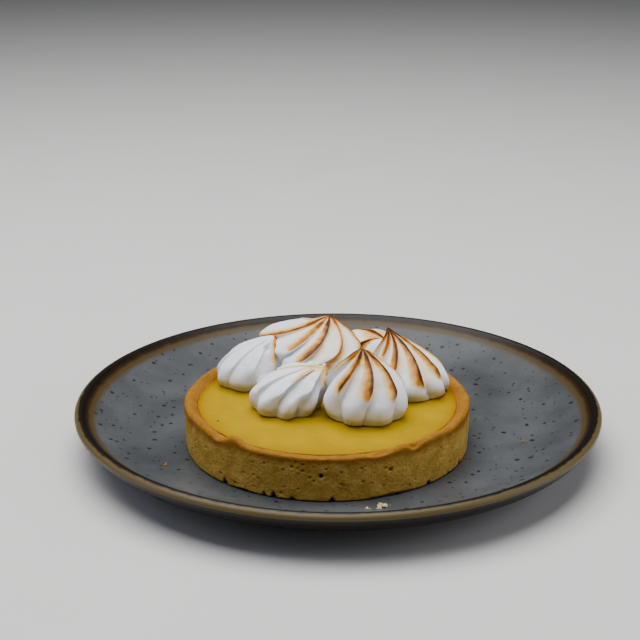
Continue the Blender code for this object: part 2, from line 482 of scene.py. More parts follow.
def star_height(share, climb, groove_width):
    """Height, 0 to 1, across one ridge, whose crest is at share 0, wide grooves or narrow."""
    if share < DROP_ENDS:
        saw = 0.5 + 0.5 * math.cos(math.pi * share / DROP_ENDS)
    else:
        saw = ((share - DROP_ENDS) / (1 - DROP_ENDS)) ** (groove_width * (0.7 + 0.9 * climb))
    lobe = math.sin(math.pi * ((share - 0.5 * DROP_ENDS) % 1.0)) ** (0.75 * groove_width)
    return mix(lobe, saw, smooth_step(0.15, 0.5, climb))


def ridge_number(around):
    """A ridge's number from -4 to 3, counted from the front one towards +X."""
    return (around + RIDGES // 2) % RIDGES - RIDGES // 2


def between_ridges(values, around, default):
    """A value that is given for each ridge, blended from one ridge to the next."""
    before = math.floor(around)
    one = values.get(ridge_number(before), values.get("all", default))
    other = values.get(ridge_number(before + 1), values.get("all", default))
    return [mix(a, b, around - before) for a, b in zip(one, other)]


def ridge_sway(kiss, around, climb):
    """Degrees that the wrist's wandering adds at that place."""
    low, high = between_ridges(kiss.sway, around, (0, 0))
    return low * (1 - climb) + high * 4 * climb * (1 - climb)


def kiss_point(kiss, travel, around):
    """A point on a kiss in mm, its climb and its reach: travel follows the outline."""
    share_out, climb = (max(0.0, share) for share in smooth_curve(KISS_OUTLINE, travel))
    if climb > BELLY_CLIMB:
        share_out **= kiss.fullness
    (calm,) = between_ridges(kiss.calm, around, (0.0,))
    depth = mix(BELLY_DEPTH, FLANK_DEPTH, climb) * min(1.0, 4 * travel) * (1 - calm)
    cut = depth * (1 - star_height(around % 1.0, climb, kiss.groove_width))
    reach = kiss.radius * share_out * (1 - cut)
    wound = kiss.ridge_at - 90 + kiss.twist * climb**kiss.twist_power
    wound += ridge_sway(kiss, around, climb)
    azimuth = around / RIDGES * FULL_TURN + math.radians(wound)
    shoulder = kiss.shoulder * math.exp(-(((climb - SHOULDER_CLIMB) / SHOULDER_SPREAD) ** 2))
    reach *= 1 + shoulder * max(0.0, math.cos(azimuth - SHOULDER_TOWARDS)) ** 2
    bend = climb**kiss.lean_power
    rise = kiss.lift * min(1.0, climb / BELLY_CLIMB)
    rise += (kiss.height - kiss.lift) * (climb - kiss.droop * climb**5)
    point = Vector(
        (
            kiss.middle[0] + reach * math.cos(azimuth) + kiss.lean[0] * bend,
            kiss.middle[1] + reach * math.sin(azimuth) + kiss.lean[1] * bend,
            CURD_Z + CONTACT_GAP + rise,
        )
    )
    return point, climb, reach


# %% [markdown]
# The torch is held above the kisses, so a crest is burnt from the tip down, each as far as the
# flame reached. The burnt line is thin and dark at the crest's edge. The caramel lies on the slope
# beside it, widest at the line's lower end, where the flame was slowest.


# %% Where the torch went
def torch_marks(kiss, around, climb, point, reach):
    """(scorch, caramel) at a point: how far the torch took it there, each about 0 to 1."""
    ridge = round(around)
    before = (ridge - around) * reach * FULL_TURN / RIDGES
    ends, darkness, width = kiss.torched.get(ridge_number(ridge), kiss.elsewhere)
    patchy = grain(point, 2.5, ridge)
    height = climb + 0.04 * patchy
    along = smooth_step(ends - 0.03, ends + 0.12, height)
    line = math.exp(-((max(0.0, abs(before - 0.2) - 0.25) / 0.45) ** 2)) * along
    low_end = math.exp(-(((height - ends - 0.15) / 0.18) ** 2))
    spread = 1.3 + (1.1 + 1.0 * low_end) * abs(width)
    side = before if width > 0 else -before
    slope = smooth_step(-0.5, 0.1, side) * math.exp(-((max(0.0, side) / spread) ** 2))
    burnt_part = smooth_step(ends - 0.10, ends + 0.06, height)
    soft = slope * (0.75 + 0.25 * low_end) * burnt_part
    haze = 0.09 * abs(width) * burnt_part * math.exp(-((before / (2.4 * spread)) ** 2))
    tip = kiss.tip_toast * smooth_step(0.74, 0.95, height)
    reached = 1.0 + 0.2 * patchy
    tan = 0.60 * abs(width) ** 0.6 * soft + haze + tip
    return 0.36 * darkness * line * reached, tan * reached


# %% [markdown]
# Points are crowded towards the crests, where the edge is sharp and the burnt line is thin. The
# finished surface is left uneven by up to a few tenths of a millimetre, as foam is.

# %% Pipe the kisses
POINTS_PER_RIDGE = 20
KISS_RINGS = 110
CROWDING = 0.55

# In mm: how far the skin is drawn in to leave room for its lumps, how far below CURD_Z the foot
# may reach, and the heights above CURD_Z where the smeared curd and its painted bounce light are
# full and where they end.
SKIN_INSET = 0.1
FOOT_SINKS = 0.2
SMEAR_AND_BOUNCE_FULL = 2.4
SMEAR_AND_BOUNCE_ENDS = 5.6


def make_kiss(kiss):
    """One kiss, piped and torched."""
    bm = bmesh.new()
    bmesh.ops.create_uvsphere(
        bm, u_segments=RIDGES * POINTS_PER_RIDGE, v_segments=KISS_RINGS, radius=1.0
    )
    scorch = bm.verts.layers.float.new("scorch")
    caramel = bm.verts.layers.float.new("caramel")
    smear = bm.verts.layers.float.new("smear")
    for vert in bm.verts:
        travel = round(math.acos(max(-1.0, min(1.0, -vert.co.z))) / math.pi, 5)
        around = math.atan2(vert.co.y, vert.co.x) / FULL_TURN % 1.0 * RIDGES
        around -= CROWDING / FULL_TURN * math.sin(FULL_TURN * (around - 0.03))
        point, climb, reach = kiss_point(kiss, travel, around)
        vert[scorch], vert[caramel] = torch_marks(kiss, around, climb, point, reach)
        vert.co = point
    bm.normal_update()
    for vert in bm.verts:
        lump = 0.28 * grain(vert.co, 5.0, 3.0) + 0.08 * grain(vert.co, 1.4, 7.0)
        inset = SKIN_INSET
        if kiss.dimple:
            place, size, depth = kiss.dimple
            inset += depth * math.exp(-(((vert.co - Vector(place)).length / size) ** 2))
        vert.co += vert.normal * (lump - inset)
        vert.co.z = max(vert.co.z, CURD_Z - FOOT_SINKS)
        # Up to a few mm above the curd the foot turns yellow: smeared curd and painted bounce
        # light.
        above_curd = vert.co.z - CURD_Z + 0.5 * grain(vert.co, 3.0, 5.0)
        vert[smear] = 0.65 * smooth_step(SMEAR_AND_BOUNCE_ENDS, SMEAR_AND_BOUNCE_FULL, above_curd)
    name = kiss.node.replace("kiss", "piped_kiss")
    finish_piece(name, bm, meringue, kiss.node)


for each_kiss in KISSES:
    make_kiss(each_kiss)

# %% [markdown]
# ## The pastry case
#
# Shortcrust is flour, butter and sugar pressed into a ring and baked blind. The ring leaves an
# upright wall with small pits, where the crumb tore or butter melted out. The rim was cut by
# hand, so it rises and dips, and it browns first: a line of orange brown along the rim fades to
# straw on the wall.

# %% The baked pastry
PASTRY_STRAW = colour("#bd953f")
PASTRY_PALE = colour("#cca650")
PASTRY_DEEP = colour("#ab8431")
PASTRY_RIM = colour("#8c5a12")
PASTRY_RIM_PALE = colour("#9f6e1d")
PASTRY_GOLD = colour("#88570d")
# Painted shade: the dark colour put into the wall's pits and tears.
PASTRY_PIT_SHADE = colour("#5a3f1a")
CRUMB_TONES = (colour("#a08a5c"), colour("#c4b183"), colour("#ddcfa8"))
TOASTED_TONES = (colour("#66451b"), colour("#835e26"), colour("#9a7435"))


def make_pastry(name, tones, with_marks=True):
    """Baked shortcrust: a sandy matte crumb in three tones, browned along rim and band, with
    painted shade in its pits.
    """
    made, tree, shader, place = new_material(name)
    sand = add_node(tree, "TexNoise", {"Vector": place, "Scale": 1 / (0.9 * MM), "Detail": 4.0})
    patch = add_node(tree, "TexNoise", {"Vector": place, "Scale": 1 / (5 * MM), "Detail": 3.0})
    both = add_node(
        tree,
        "Mix",
        {"Factor": 0.5, 2: sand.outputs["Fac"], 3: patch.outputs["Fac"]},
        data_type="FLOAT",
    )
    straw = add_node(
        tree,
        "ValToRGB",
        {"Fac": both.outputs[0]},
        stops=tuple(zip((0.38, 0.5, 0.62), tones)),
    )
    last = straw.outputs["Color"]
    if with_marks:
        rim = add_node(
            tree,
            "ValToRGB",
            {"Fac": both.outputs[0]},
            stops=((0.4, PASTRY_RIM), (0.62, PASTRY_RIM_PALE)),
        )
        for mark, target in (("band", PASTRY_GOLD), ("rim", rim.outputs["Color"])):
            amount = add_node(tree, "Attribute", attribute_name=mark).outputs["Fac"]
            grainy = add_node(
                tree,
                "MapRange",
                {"Value": sand.outputs["Fac"], "To Min": -0.35, "To Max": 0.35},
            )
            uneven = add_node(
                tree,
                "Math",
                {0: grainy.outputs["Result"], 1: amount, 2: amount},
                operation="MULTIPLY_ADD",
                use_clamp=True,
            )
            last = add_node(
                tree,
                "Mix",
                {"Factor": uneven.outputs[0], 6: last, 7: target},
                data_type="RGBA",
            ).outputs[2]
        # Painted shade: pits and tears are painted dark.
        pit = add_node(tree, "Attribute", attribute_name="pit").outputs["Fac"]
        last = add_node(
            tree, "Mix", {"Factor": pit, 6: last, 7: PASTRY_PIT_SHADE}, data_type="RGBA"
        ).outputs[2]
    tree.links.new(last, shader.inputs["Base Color"])
    bump = add_node(
        tree, "Bump", {"Height": sand.outputs["Fac"], "Strength": 0.7, "Distance": 0.3 * MM}
    )
    tree.links.new(bump.outputs["Normal"], shader.inputs["Normal"])
    shader.inputs["Roughness"].default_value = 0.8
    shader.inputs["IOR"].default_value = 1.4
    shader.inputs["Specular IOR Level"].default_value = 0.25
    return made


pastry = make_pastry("baked_shortcrust", (PASTRY_DEEP, PASTRY_STRAW, PASTRY_PALE))
crumb_pastry = make_pastry("shortcrust_crumb", CRUMB_TONES, with_marks=False)
print("materials:", pastry.name, crumb_pastry.name)

# %% [markdown]
# The case is an outline spun round the tart's middle, then uneven: the rim by a handful of bumps
# and dips, the wall by noise, pits and the notches where it met the plate.

# %% Shape the case
TART_CENTRE = Vector((-4.3, -18.0, 0.0))
CASE_RADIUS = 57.6
CASE_BASE_Z = 8.3
RIM_Z = 27.2
WALL_THICKNESS = 5.2
FLOOR_Z = CASE_BASE_Z + 4.0
CASE_SEGMENTS = 900
CASE_STEP = 0.36
SMALL_PITS = 340

# Bumps and dips of the rim: (bearing, height in mm, half width in degrees).
RIM_BUMPS = (
    (-84, 0.9, 10),
    (-62, 1.3, 9),
    (-47, -0.6, 5),
    (-37.5, 2.5, 4),
    (0, -0.9, 32),
    (30, 0.9, 4),
    (46, 1.1, 8),
    (68, 0.8, 8),
    (88, 1.4, 10),
    (118, 0.5, 9),
    (146, 1.1, 12),
    (176, -0.4, 10),
    (204, 0.9, 8),
    (236, 0.6, 12),
    (258, -0.5, 7),
)

# Chips in the rim's outer edge: (bearing, depth, half width in degrees).
RIM_CHIPS = ((35.5, 1.7, 2.6), (20.5, 0.8, 4.0), (-46, 0.7, 3.0), (-62, 0.5, 3.0), (96, 0.9, 4.0))

# Tears along the foot of the wall: (bearing, half width in mm, height, depth).
FOOT_TEARS = (
    (-42.5, 0.9, 2.6, 1.5),
    (-24.0, 0.7, 1.8, 1.2),
    (-20.0, 0.8, 2.6, 1.4),
    (-12.7, 0.9, 1.4, 1.0),
    (2.4, 0.8, 1.9, 1.5),
    (43.4, 0.9, 1.7, 1.4),
    (56.0, 0.7, 1.0, 0.9),
    (66.0, 0.8, 2.4, 1.5),
    (95.0, 1.0, 2.0, 1.3),
    (131.0, 0.8, 1.6, 1.2),
    (172.0, 1.1, 2.2, 1.3),
    (214.0, 0.8, 1.5, 1.1),
    (251.0, 0.9, 2.3, 1.3),
    (282.0, 0.9, 1.6, 1.2),
)

# Where the foot lifts off the plate: (bearing, height, half width in degrees).
FOOT_LIFTS = ((25.5, 1.3, 6.0), (-33.0, 0.5, 5.0), (110.0, 0.9, 9.0), (200.0, 0.8, 8.0))

# The pits that stand out: (bearing, height, radius, depth); small ones are drawn at random.
NAMED_PITS = (
    (-1.7, 18.9, 0.85, 1.5),
    (-23.4, 21.9, 0.45, 0.8),
    (-11.0, 24.4, 0.45, 0.6),
    (-12.6, 22.1, 0.55, 0.8),
    (-10.4, 21.7, 0.40, 0.6),
    (-8.5, 23.4, 0.45, 0.7),
    (-8.5, 20.7, 0.50, 0.8),
    (-10.2, 19.4, 0.30, 0.5),
    (-15.8, 20.4, 0.45, 0.5),
    (0.2, 21.7, 0.40, 0.5),
    (-4.4, 16.8, 0.50, 0.6),
    (-10.2, 13.2, 0.45, 0.5),
    (-28.1, 16.3, 0.40, 0.5),
    (6.5, 14.9, 0.45, 0.5),
    (24.9, 19.3, 0.75, 0.9),
    (13.9, 16.0, 0.55, 0.6),
    (22.1, 13.0, 0.40, 0.5),
    (36.1, 12.5, 0.40, 0.5),
    (61.3, 9.6, 0.60, 0.8),
)


def bearing_of(point):
    """Degrees round the tart from its front, positive towards +X."""
    return math.degrees(math.atan2(point.x, -point.y))


def angle_between(one, other):
    """Degrees from one bearing to another, from -180 to 180."""
    return (one - other + 180) % 360 - 180


@functools.cache
def bells(bearing, humps):
    """The sum of bell curves at a bearing, each (bearing, height, half width in degrees)."""
    return sum(
        height * math.exp(-((angle_between(bearing, middle) / half_width) ** 2))
        for middle, height, half_width in humps
    )


def even_steps(outline, step):
    """The outline with points added, so that none are further apart than step."""
    fuller = [outline[0]]
    for (r0, z0), (r1, z1) in zip(outline, outline[1:]):
        count = max(1, math.ceil(math.hypot(r1 - r0, z1 - z0) / step))
        fuller += [(mix(r0, r1, i / count), mix(z0, z1, i / count)) for i in range(1, count + 1)]
    return fuller


def wall_pits(count, seed):
    """Every pit of the wall, filed by bearing in cells of 3 degrees."""
    draw = random.Random(seed)
    pits = list(NAMED_PITS)
    for _ in range(count):
        size = 0.22 + 0.33 * draw.random() ** 3
        pits.append((draw.uniform(-180, 180), draw.uniform(9.5, 24.5), size, 0.9 * size))
    filed = {}
    for pit in pits:
        for near in (-1, 0, 1):
            filed.setdefault((int(pit[0] // 3) + near) % 120, []).append(pit)
    return filed


def pit_depth(bearing, height, pits):
    """How deep the wall is pitted there, in mm."""
    deepest = 0.0
    for where, level, size, depth in pits.get(int(bearing // 3) % 120, ()):
        across = math.radians(angle_between(bearing, where)) * CASE_RADIUS
        away = math.hypot(across, height - level) / size
        if away < 1.8:
            deepest = max(deepest, depth * math.exp(-(away**4)))
    return deepest


def tear_depth(bearing, height):
    """How deep the foot is torn there: a wedge that narrows upwards."""
    deepest = 0.0
    for where, half_width, top, depth in FOOT_TEARS if height < CASE_BASE_Z + 3 else ():
        across = abs(math.radians(angle_between(bearing, where))) * CASE_RADIUS
        share = (height - CASE_BASE_Z) / top
        if across < 3 and share < 1:
            width = 1.7 * half_width * (1.15 - share)
            deepest = max(deepest, depth * smooth_step(width, 0.3 * width, across))
    return deepest


def make_case():
    """The pastry case, with its pits, tears and hand-cut rim."""
    inner_rim = CASE_RADIUS - WALL_THICKNESS
    outline = (
        (CASE_RADIUS - 6.0, CASE_BASE_Z),
        (CASE_RADIUS - 1.1, CASE_BASE_Z),
        (CASE_RADIUS - 0.6, CASE_BASE_Z + 0.4),
        (CASE_RADIUS - 0.25, CASE_BASE_Z + 8.0),
        (CASE_RADIUS, RIM_Z - 1.4),
        (CASE_RADIUS - 0.25, RIM_Z - 0.7),
        (CASE_RADIUS - 0.9, RIM_Z - 0.2),
        (CASE_RADIUS - 1.7, RIM_Z),
        (CASE_RADIUS - 2.6, RIM_Z - 0.25),
        (CASE_RADIUS - 3.8, RIM_Z - 0.9),
        (inner_rim - 0.2, RIM_Z - 2.2),
        (inner_rim - 1.2, RIM_Z - 4.2),
    )
    fine = even_steps(outline, CASE_STEP)
    inside = [(inner_rim - 2.6, FLOOR_Z), (0.0, FLOOR_Z)]
    bm = turned_piece([(0.0, CASE_BASE_Z), *fine, *inside], CASE_SEGMENTS)
    marks = {mark: bm.verts.layers.float.new(mark) for mark in ("band", "rim", "pit")}
    pits = wall_pits(SMALL_PITS, 11)
    for vert in bm.verts:
        if math.hypot(vert.co.x, vert.co.y) < inner_rim - 2.0:
            continue
        co = vert.co.copy()
        bearing = round(bearing_of(co), 2)
        outward = Vector((co.x, co.y, 0.0)).normalized()
        reach = math.hypot(co.x, co.y)
        rise = max(0.0, (co.z - (RIM_Z - 6.0)) / 6.0)
        wall = smooth_step(CASE_RADIUS - 2.2, CASE_RADIUS - 0.8, reach)
        coarse, sandy = grain(co, 4.0, 1.0), grain(co, 0.9, 2.0)
        move = outward * (wall * (0.16 * coarse + 0.09 * sandy - 0.2))
        move.z = rise**2 * bells(bearing, RIM_BUMPS)
        move.z += rise * (0.22 * grain(co, 3.0, 5.0) + 0.1 * grain(co, 1.1, 6.0))
        outer_edge = smooth_step(CASE_RADIUS - 2.6, CASE_RADIUS - 0.6, reach)
        move.z -= rise**2 * outer_edge * bells(bearing, RIM_CHIPS)
        low = smooth_step(CASE_BASE_Z + 2.5, CASE_BASE_Z, co.z) * wall
        if low:
            ragged = 0.3 * grain(co, 3.5, 8.0) + 0.15 * grain(co, 1.5, 9.0)
            move.z += low * max(0.0, bells(bearing, FOOT_LIFTS) + ragged)
        depth = 0.0
        if wall > 0.5:
            depth = max(pit_depth(bearing, co.z, pits), tear_depth(bearing, co.z))
        below_rim = RIM_Z - co.z + 0.5 * grain(co, 2.5, 9.0)
        top = smooth_step(1.3, 0.5, below_rim) if wall > 0.02 else 1.0
        vert[marks["rim"]] = top
        band = smooth_step(5.5, 1.6, below_rim + 1.0 * grain(co, 7.0, 9.0))
        foot = 0.5 * smooth_step(1.6, 0.2, co.z - CASE_BASE_Z) * smooth_step(0.0, 0.5, coarse)
        vert[marks["band"]] = max(0.9 * band, foot)
        # The pit value paints shade into the pits and the tears of the foot.
        vert[marks["pit"]] = min(1.0, 0.8 * depth)
        vert.co = co + move - outward * depth
    bmesh.ops.translate(bm, verts=bm.verts, vec=TART_CENTRE)
    finish_piece("baked_case", bm, pastry, "shortcrust_case")


make_case()

# %% [markdown]
# ## The lemon curd
#
# Curd is set egg, butter and lemon juice: opaque, bright yellow, with the soft gloss of a skin
# that has dried a little. It is poured, so it is level but for shallow dimples, and it climbs the
# crust and the kisses by a fraction of a millimetre. Where it meets them its colour is painted
# darker and more orange. This is painted shade in the corners that the crust and the kisses make.

# %% The set curd
CURD_YELLOW = colour("#a18200")
CURD_BRIGHT = colour("#ac8c00")
# Painted shade: the darker, more orange colour where the curd meets the crust and the kisses.
CURD_SHADE = colour("#8a5c00")


def make_curd_material():
    """Set lemon curd: opaque yellow with a soft gloss."""
    made, tree, shader, place = new_material("set_lemon_curd")
    cloud = add_node(tree, "TexNoise", {"Vector": place, "Scale": 1 / (12 * MM), "Detail": 4.0})
    fine = add_node(tree, "TexNoise", {"Vector": place, "Scale": 1 / (2.5 * MM), "Detail": 3.0})
    yellow = add_node(
        tree,
        "ValToRGB",
        {"Fac": cloud.outputs["Fac"]},
        stops=((0.35, CURD_YELLOW), (0.65, CURD_BRIGHT)),
    )
    # Painted shade near the crust's wall and round the kisses' feet, darker and more orange.
    wept = add_node(tree, "Attribute", attribute_name="wept").outputs["Fac"]
    whole = add_node(
        tree,
        "Mix",
        {"Factor": wept, 6: yellow.outputs["Color"], 7: CURD_SHADE},
        data_type="RGBA",
    )
    tree.links.new(whole.outputs[2], shader.inputs["Base Color"])
    bump = add_node(
        tree, "Bump", {"Height": fine.outputs["Fac"], "Strength": 0.35, "Distance": 0.3 * MM}
    )
    tree.links.new(bump.outputs["Normal"], shader.inputs["Normal"])
    shader.inputs["Roughness"].default_value = 0.42
    shader.inputs["IOR"].default_value = 1.38
    shader.inputs["Specular IOR Level"].default_value = 0.06
    shader.inputs["Subsurface Weight"].default_value = 0.1
    shader.inputs["Subsurface Radius"].default_value = (1.0, 0.7, 0.05)
    shader.inputs["Subsurface Scale"].default_value = 1.5 * MM
    return made


curd_material = make_curd_material()


def distance_to_kiss(point):
    """How far a point on the curd is from the nearest kiss's foot, in mm."""
    return min(
        math.hypot(point.x - kiss.middle[0], point.y - kiss.middle[1]) - 0.86 * kiss.radius
        for kiss in KISSES
    )


def make_curd():
    """The curd, poured to just under the rim."""
    inner_rim = CASE_RADIUS - WALL_THICKNESS
    edge = inner_rim - 0.4
    outline = [(0.0, FLOOR_Z + 0.3), (inner_rim - 3.0, FLOOR_Z + 0.3), (edge - 0.6, CURD_Z - 2.0)]
    outline += [(edge, CURD_Z + 0.25), (edge - 0.3, CURD_Z + 0.25)]
    outline += [((edge - 0.3) * (1 - i / 110), CURD_Z - 0.2) for i in range(1, 111)]
    bm = turned_piece(outline, 280)
    wept = bm.verts.layers.float.new("wept")
    bmesh.ops.translate(bm, verts=bm.verts, vec=TART_CENTRE)
    for vert in bm.verts:
        if vert.co.z < CURD_Z - 1.0:
            continue
        inward = edge - math.hypot(vert.co.x - TART_CENTRE.x, vert.co.y - TART_CENTRE.y)
        away = distance_to_kiss(vert.co)
        by_crust = math.exp(-max(0.0, inward) / 0.9)
        by_kiss = math.exp(-max(0.0, away) / 1.1)
        swell = 0.14 * grain(vert.co, 8.0, 2.0) + 0.06 * grain(vert.co, 2.4, 4.0)
        if inward > 0.2:
            vert.co.z += swell + 0.35 * by_crust + 0.8 * by_kiss
        # Painted shade: darker, more orange towards the crust's wall and round each kiss's foot.
        vert[wept] = min(1.0, 0.75 * math.exp(-max(0.0, inward) / 3.0) + 0.45 * by_kiss**1.5)
    finish_piece("set_curd", bm, curd_material, "lemon_curd")


make_curd()

# %% [markdown]
# ## The plate
#
# A reactive glaze is sprayed on the stoneware in two colours. The grey one covers the middle, and
# grains of iron in it melt to dark specks. Near the lip it has run off into a dark brown, and the
# lip itself, where the glaze is thinnest, breaks to tan. The bands are rings, so the colour
# follows the distance from the middle, with noise to make their edges run.

# %% The reactive glaze
PLATE_RADIUS = 108.5
GLAZE_GREY = colour("#494c4e")
GLAZE_GREY_PALE = colour("#545759")
GLAZE_GREY_DARK = colour("#3e4042")
GLAZE_SPECK = colour("#120f0c")
GLAZE_GOLD = colour("#4c3d22")
GLAZE_HONEY = colour("#2e1e0a")
GLAZE_BROWN = colour("#110b05")
GLAZE_TAN = colour("#594b2b")


def add_specks(tree, plane, cell, share, radius):
    """A mask of round specks, for that share of the cells, with radii up to radius in mm."""
    cells = add_node(
        tree,
        "TexVoronoi",
        {"Vector": plane, "Scale": 1 / (cell * MM)},
        voronoi_dimensions="2D",
    )
    pick = add_node(
        tree,
        "MapRange",
        {
            "Value": cells.outputs["Color"],
            "From Min": 1 - share,
            "From Max": 1.0,
            "To Min": 0.3 * radius / cell,
            "To Max": radius / cell,
        },
    )
    chosen = add_node(
        tree,
        "Math",
        {0: cells.outputs["Color"], 1: 1 - share},
        operation="GREATER_THAN",
    )
    inside = add_node(
        tree,
        "Math",
        {0: cells.outputs["Distance"], 1: pick.outputs["Result"]},
        operation="DIVIDE",
    )
    soft = add_node(
        tree,
        "MapRange",
        {"Value": inside.outputs[0], "From Min": 1.1, "From Max": 0.6},
    )
    return add_node(
        tree,
        "Math",
        {0: soft.outputs["Result"], 1: chosen.outputs[0]},
        operation="MULTIPLY",
    ).outputs[0]


def make_glaze():
    """Reactive glaze on stoneware, fired glossy."""
    made, tree, shader, place = new_material("reactive_stoneware_glaze")
    plane = add_node(
        tree, "VectorMath", {0: place, 1: (1.0, 1.0, 0.0)}, operation="MULTIPLY"
    ).outputs[0]
    reach = add_node(tree, "VectorMath", {0: plane}, operation="LENGTH")
    run = add_node(tree, "TexNoise", {"Vector": place, "Scale": 1 / (4 * MM), "Detail": 4.0})
    sway = add_node(
        tree,
        "MapRange",
        {"Value": run.outputs["Fac"], "To Min": -0.7 * MM, "To Max": 0.7 * MM},
    )
    ring = add_node(
        tree, "Math", {0: reach.outputs["Value"], 1: sway.outputs["Result"]}, operation="ADD"
    )
    across = add_node(
        tree,
        "MapRange",
        {"Value": ring.outputs[0], "From Min": 90 * MM, "From Max": 110 * MM},
    ).outputs["Result"]
    cloud = add_node(tree, "TexNoise", {"Vector": place, "Scale": 1 / (24 * MM), "Detail": 6.0})
    grey = add_node(
        tree,
        "ValToRGB",
        {"Fac": cloud.outputs["Fac"]},
        stops=((0.3, GLAZE_GREY_DARK), (0.5, GLAZE_GREY), (0.7, GLAZE_GREY_PALE)),
    )
    ragged = add_node(tree, "TexNoise", {"Vector": place, "Scale": 1 / (1.1 * MM), "Detail": 2.0})
    shake = add_node(
        tree,
        "VectorMath",
        {0: ragged.outputs["Color"], "Scale": 0.9 * MM},
        operation="SCALE",
    )
    shaken = add_node(
        tree, "VectorMath", {0: plane, 1: shake.outputs[0]}, operation="ADD"
    ).outputs[0]
    specks = add_specks(tree, shaken, 9.0, 0.8, 1.25)
    for cell, share, radius in ((5.0, 0.5, 0.75), (2.4, 0.3, 0.35)):
        finer = add_specks(tree, shaken, cell, share, radius)
        specks = add_node(tree, "Math", {0: specks, 1: finer}, operation="MAXIMUM").outputs[0]
    inked = add_node(tree, "Math", {0: specks, 1: 0.92}, operation="MULTIPLY")
    speckled = add_node(
        tree,
        "Mix",
        {"Factor": inked.outputs[0], 6: grey.outputs["Color"], 7: GLAZE_SPECK},
        data_type="RGBA",
    )
    bands = add_node(
        tree,
        "ValToRGB",
        {"Fac": across},
        stops=(
            (0.50, GLAZE_GOLD),
            (0.60, GLAZE_GOLD),
            (0.66, GLAZE_HONEY),
            (0.72, GLAZE_BROWN),
            (0.825, GLAZE_BROWN),
            (0.86, GLAZE_TAN),
        ),
    )
    banded = add_node(
        tree, "MapRange", {"Value": across, "From Min": 0.47, "From Max": 0.56}
    )
    upper = add_node(
        tree,
        "Mix",
        {
            "Factor": banded.outputs["Result"],
            6: speckled.outputs[2],
            7: bands.outputs["Color"],
        },
        data_type="RGBA",
    )
    # Painted shade: faces that turn downwards, under the lip and below, are painted dark brown.
    under = add_node(tree, "Attribute", attribute_name="underside").outputs["Fac"]
    whole = add_node(
        tree, "Mix", {"Factor": under, 6: upper.outputs[2], 7: GLAZE_BROWN}, data_type="RGBA"
    )
    tree.links.new(whole.outputs[2], shader.inputs["Base Color"])
    bump = add_node(
        tree, "Bump", {"Height": run.outputs["Fac"], "Strength": 0.12, "Distance": 0.2 * MM}
    )
    tree.links.new(bump.outputs["Normal"], shader.inputs["Normal"])
    shader.inputs["Roughness"].default_value = 0.38
    shader.inputs["IOR"].default_value = 1.5
    shader.inputs["Specular IOR Level"].default_value = 0.22
    return made


glaze = make_glaze()
print("material:", glaze.name)

# %% [markdown]
# The plate is thrown by spinning its outline. A Catmull-Rom curve through the outline's points
# gives the soft turns that glaze leaves, and only the foot ring keeps its corners.

# %% Throw the plate
LIP_WIDEST_Z = 18.0
LIP_TOP_Z = 19.7
WELL_Z = 8.0
RECESS_Z = 2.4
FOOT_INNER_RADIUS = 61.5
FOOT_OUTER_RADIUS = 66.5


def make_plate():
    """The plate: foot ring, underside, rounded lip, rising wall and flat well."""
    profile = (
        (FOOT_OUTER_RADIUS + 1.0, 0.7),
        (FOOT_OUTER_RADIUS + 2.5, 3.0),
        (76.0, 3.9),
        (88.0, 5.6),
        (98.0, 8.6),
        (103.5, 11.6),
        (107.0, 15.0),
        (PLATE_RADIUS - 0.3, LIP_WIDEST_Z - 1.2),
        (PLATE_RADIUS, LIP_WIDEST_Z),
        (PLATE_RADIUS - 0.5, LIP_WIDEST_Z + 0.9),
        (PLATE_RADIUS - 1.4, LIP_TOP_Z - 0.25),
        (PLATE_RADIUS - 2.5, LIP_TOP_Z),
        (PLATE_RADIUS - 3.6, LIP_TOP_Z - 0.3),
        (PLATE_RADIUS - 4.7, LIP_TOP_Z - 1.1),
        (PLATE_RADIUS - 6.0, LIP_TOP_Z - 2.3),
        (PLATE_RADIUS - 8.2, LIP_TOP_Z - 3.9),
        (96.5, WELL_Z + 5.8),
        (90.0, WELL_Z + 3.1),
        (84.0, WELL_Z + 1.2),
        (77.5, WELL_Z + 0.2),
        (71.0, WELL_Z),
    )
    curved = [smooth_curve(profile, i / 110) for i in range(111)]
    outline = [
        (0.0, RECESS_Z),
        (FOOT_INNER_RADIUS - 2.0, RECESS_Z),
        (FOOT_INNER_RADIUS - 0.6, 0.5),
        (FOOT_INNER_RADIUS, 0.0),
        (FOOT_OUTER_RADIUS, 0.0),
        *[(min(radius, PLATE_RADIUS - 0.02), height) for radius, height in curved],
        (40.0, WELL_Z),
        (0.0, WELL_Z),
    ]
    bm = turned_piece(outline, 320)
    bm.normal_update()
    underside = bm.verts.layers.float.new("underside")
    # Painted shade: this value grows as a face turns downwards.
    for vert in bm.verts:
        vert[underside] = smooth_step(-0.05, -0.35, vert.normal.z)
    finish_piece("glazed_plate", bm, glaze, "plate")


make_plate()

# %% [markdown]
# ## The crumbs
#
# A few crumbs fell when the tart was set down: pale ones in front of it and browned specks
# further out. Charred flecks fell on the curd. Each is a small lump, an icosphere pushed out of
# round, and each kind is joined into one piece. None of the three has a node in the frame.

# %% Scatter the crumbs
# Heaps of crumbs: (middle, spread, count, size), in mm.
PALE_CRUMBS = (
    ((16.3, -79.0), 0.8, 8, 0.85),
    ((14.6, -81.0), 0.7, 4, 0.45),
    ((10.6, -81.6), 0.6, 4, 0.42),
    ((18.6, -77.5), 0.6, 2, 0.35),
)
BROWN_CRUMBS = (((-67.4, -44.2), 0.7, 3, 0.55), ((75.6, -20.3), 0.6, 2, 0.6))
CURD_SPECKS = (
    ((-46.7, -38.1), 0.3, 2, 0.42),
    ((-44.9, -39.6), 0.2, 1, 0.22),
    ((-9.0, -58.0), 3.0, 2, 0.16),
    ((31.0, -42.0), 3.0, 2, 0.18),
)


